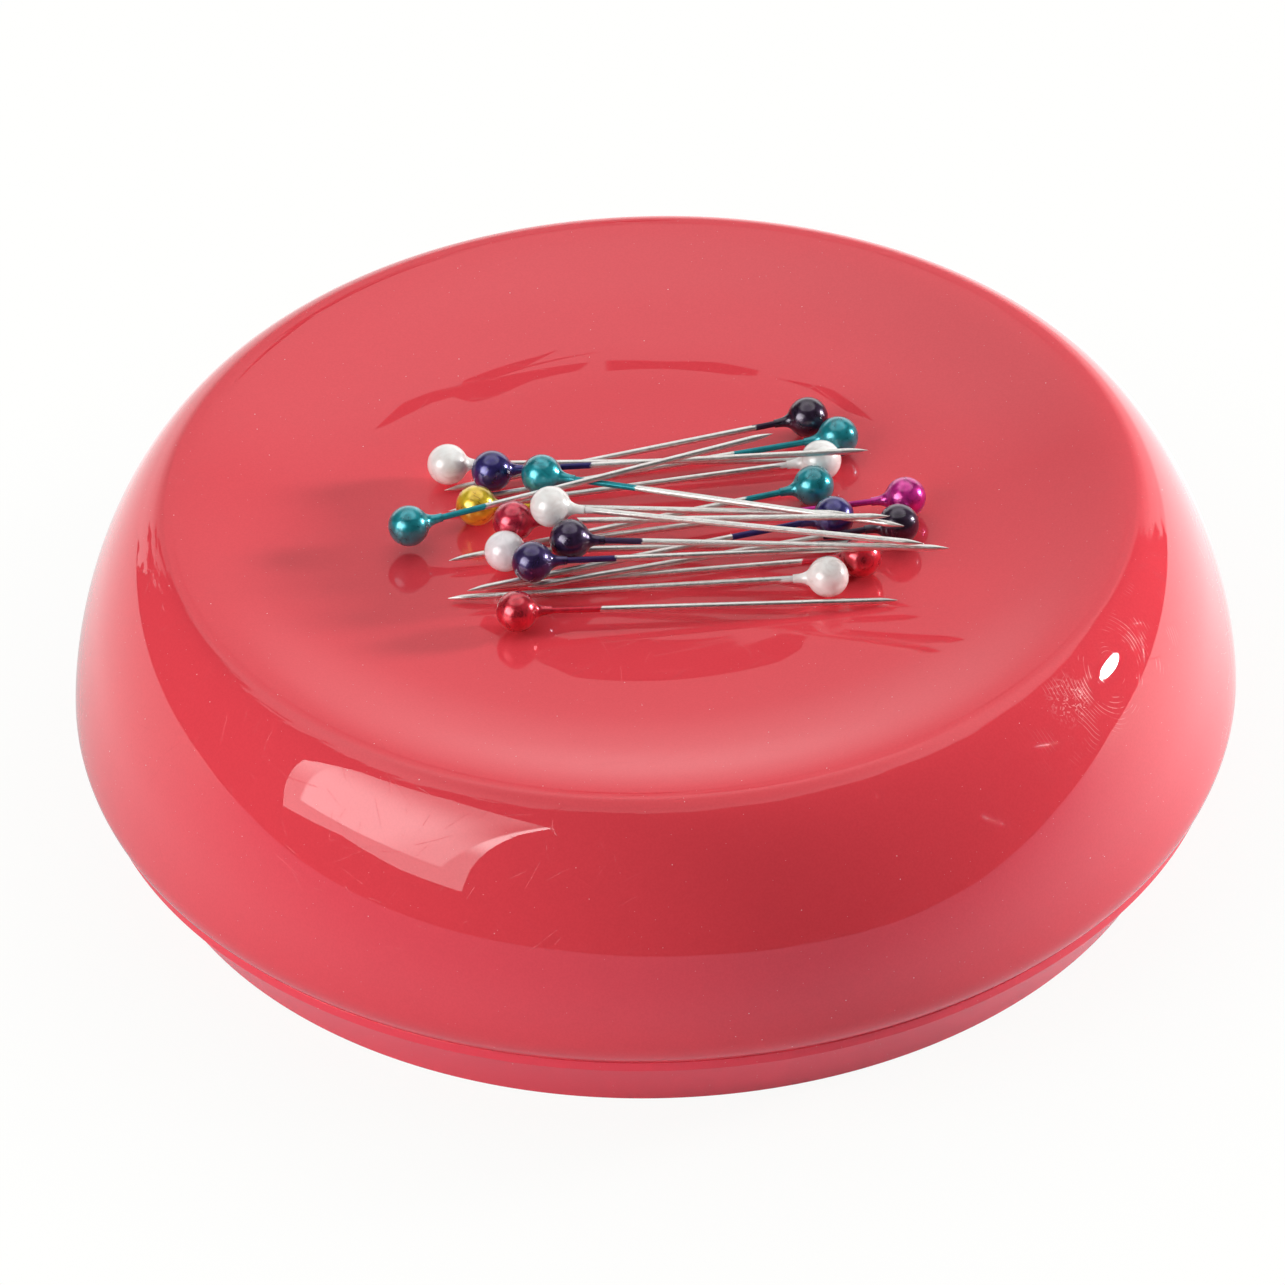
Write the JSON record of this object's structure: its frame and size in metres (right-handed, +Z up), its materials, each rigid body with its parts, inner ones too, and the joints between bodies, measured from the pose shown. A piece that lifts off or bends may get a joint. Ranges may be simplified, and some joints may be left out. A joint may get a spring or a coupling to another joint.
{
  "type": "magnetic pincushion",
  "caption": "Round low dish of glossy red plastic with a rolled rim and a ring magnet inside, holding loose ball-headed pins in its shallow hollow.",
  "frame": {"origin": "centre of the flat underside of the base pan", "axes": "+Z up out of the dish, -Y towards the front of the view, +X to its right"},
  "size_m": [0.108, 0.108, 0.0363],
  "materials": {
    "shell_plastic": "high gloss, coral red",
    "pan_plastic": "gloss, coral red",
    "ferrite": "matt, sintered",
    "pin_steel": "nickel plated",
    "pearl_head": "pearl lustre",
    "silver_head": "pearl lustre",
    "yellow_head": "pearl lustre",
    "crimson_head": "pearl lustre",
    "red_head": "pearl lustre",
    "magenta_head": "pearl lustre",
    "teal_head": "pearl lustre",
    "indigo_head": "pearl lustre",
    "violet_head": "pearl lustre",
    "plum_head": "pearl lustre",
    "black_head": "pearl lustre"
  },
  "bodies": {
    "cushion": {"top_dish": "shell_plastic", "base_pan": "pan_plastic", "ring_magnet": "ferrite"},
    "pin_01": {"pin_01_head": "black_head", "pin_01_shaft": "pin_steel"},
    "pin_02": {"pin_02_head": "magenta_head", "pin_02_shaft": "pin_steel"},
    "pin_03": {"pin_03_head": "red_head", "pin_03_shaft": "pin_steel"},
    "pin_04": {"pin_04_head": "pearl_head", "pin_04_shaft": "pin_steel"},
    "pin_05": {"pin_05_head": "pearl_head", "pin_05_shaft": "pin_steel"},
    "pin_06": {"pin_06_head": "teal_head", "pin_06_shaft": "pin_steel"},
    "pin_07": {"pin_07_head": "pearl_head", "pin_07_shaft": "pin_steel"},
    "pin_08": {"pin_08_head": "teal_head", "pin_08_shaft": "pin_steel"},
    "pin_09": {"pin_09_head": "indigo_head", "pin_09_shaft": "pin_steel"},
    "pin_10": {"pin_10_head": "silver_head", "pin_10_shaft": "pin_steel"},
    "pin_11": {"pin_11_head": "indigo_head", "pin_11_shaft": "pin_steel"},
    "pin_12": {"pin_12_head": "black_head", "pin_12_shaft": "pin_steel"},
    "pin_13": {"pin_13_head": "violet_head", "pin_13_shaft": "pin_steel"},
    "pin_14": {"pin_14_head": "yellow_head", "pin_14_shaft": "pin_steel"},
    "pin_15": {"pin_15_head": "red_head", "pin_15_shaft": "pin_steel"},
    "pin_16": {"pin_16_head": "teal_head", "pin_16_shaft": "pin_steel"},
    "pin_17": {"pin_17_head": "crimson_head", "pin_17_shaft": "pin_steel"},
    "pin_18": {"pin_18_head": "plum_head", "pin_18_shaft": "pin_steel"},
    "pin_19": {"pin_19_head": "pearl_head", "pin_19_shaft": "pin_steel"},
    "pin_20": {"pin_20_head": "teal_head", "pin_20_shaft": "pin_steel"}
  },
  "joints": [
    {"name": "pin_01_lift", "type": "slide", "parent": "cushion", "child": "pin_01", "axis": [0, 0, 1], "range_m": [0, 0.012]},
    {"name": "pin_02_lift", "type": "slide", "parent": "pin_01", "child": "pin_02", "axis": [0, 0, 1], "range_m": [0, 0.012]},
    {"name": "pin_03_lift", "type": "slide", "parent": "pin_02", "child": "pin_03", "axis": [0, 0, 1], "range_m": [0, 0.012]},
    {"name": "pin_04_lift", "type": "slide", "parent": "pin_03", "child": "pin_04", "axis": [0, 0, 1], "range_m": [0, 0.012]},
    {"name": "pin_05_lift", "type": "slide", "parent": "pin_04", "child": "pin_05", "axis": [0, 0, 1], "range_m": [0, 0.012]},
    {"name": "pin_06_lift", "type": "slide", "parent": "pin_05", "child": "pin_06", "axis": [0, 0, 1], "range_m": [0, 0.012]},
    {"name": "pin_07_lift", "type": "slide", "parent": "pin_06", "child": "pin_07", "axis": [0, 0, 1], "range_m": [0, 0.012]},
    {"name": "pin_08_lift", "type": "slide", "parent": "pin_07", "child": "pin_08", "axis": [0, 0, 1], "range_m": [0, 0.012]},
    {"name": "pin_09_lift", "type": "slide", "parent": "pin_08", "child": "pin_09", "axis": [0, 0, 1], "range_m": [0, 0.012]},
    {"name": "pin_10_lift", "type": "slide", "parent": "pin_09", "child": "pin_10", "axis": [0, 0, 1], "range_m": [0, 0.012]},
    {"name": "pin_11_lift", "type": "slide", "parent": "pin_10", "child": "pin_11", "axis": [0, 0, 1], "range_m": [0, 0.012]},
    {"name": "pin_12_lift", "type": "slide", "parent": "pin_11", "child": "pin_12", "axis": [0, 0, 1], "range_m": [0, 0.012]},
    {"name": "pin_13_lift", "type": "slide", "parent": "pin_12", "child": "pin_13", "axis": [0, 0, 1], "range_m": [0, 0.012]},
    {"name": "pin_14_lift", "type": "slide", "parent": "pin_13", "child": "pin_14", "axis": [0, 0, 1], "range_m": [0, 0.012]},
    {"name": "pin_15_lift", "type": "slide", "parent": "cushion", "child": "pin_15", "axis": [0, 0, 1], "range_m": [0, 0.012]},
    {"name": "pin_16_lift", "type": "slide", "parent": "pin_14", "child": "pin_16", "axis": [0, 0, 1], "range_m": [0, 0.012]},
    {"name": "pin_17_lift", "type": "slide", "parent": "pin_16", "child": "pin_17", "axis": [0, 0, 1], "range_m": [0, 0.012]},
    {"name": "pin_18_lift", "type": "slide", "parent": "pin_17", "child": "pin_18", "axis": [0, 0, 1], "range_m": [0, 0.012]},
    {"name": "pin_19_lift", "type": "slide", "parent": "pin_18", "child": "pin_19", "axis": [0, 0, 1], "range_m": [0, 0.012]},
    {"name": "pin_20_lift", "type": "slide", "parent": "pin_17", "child": "pin_20", "axis": [0, 0, 1], "range_m": [0, 0.012]}
  ]
}
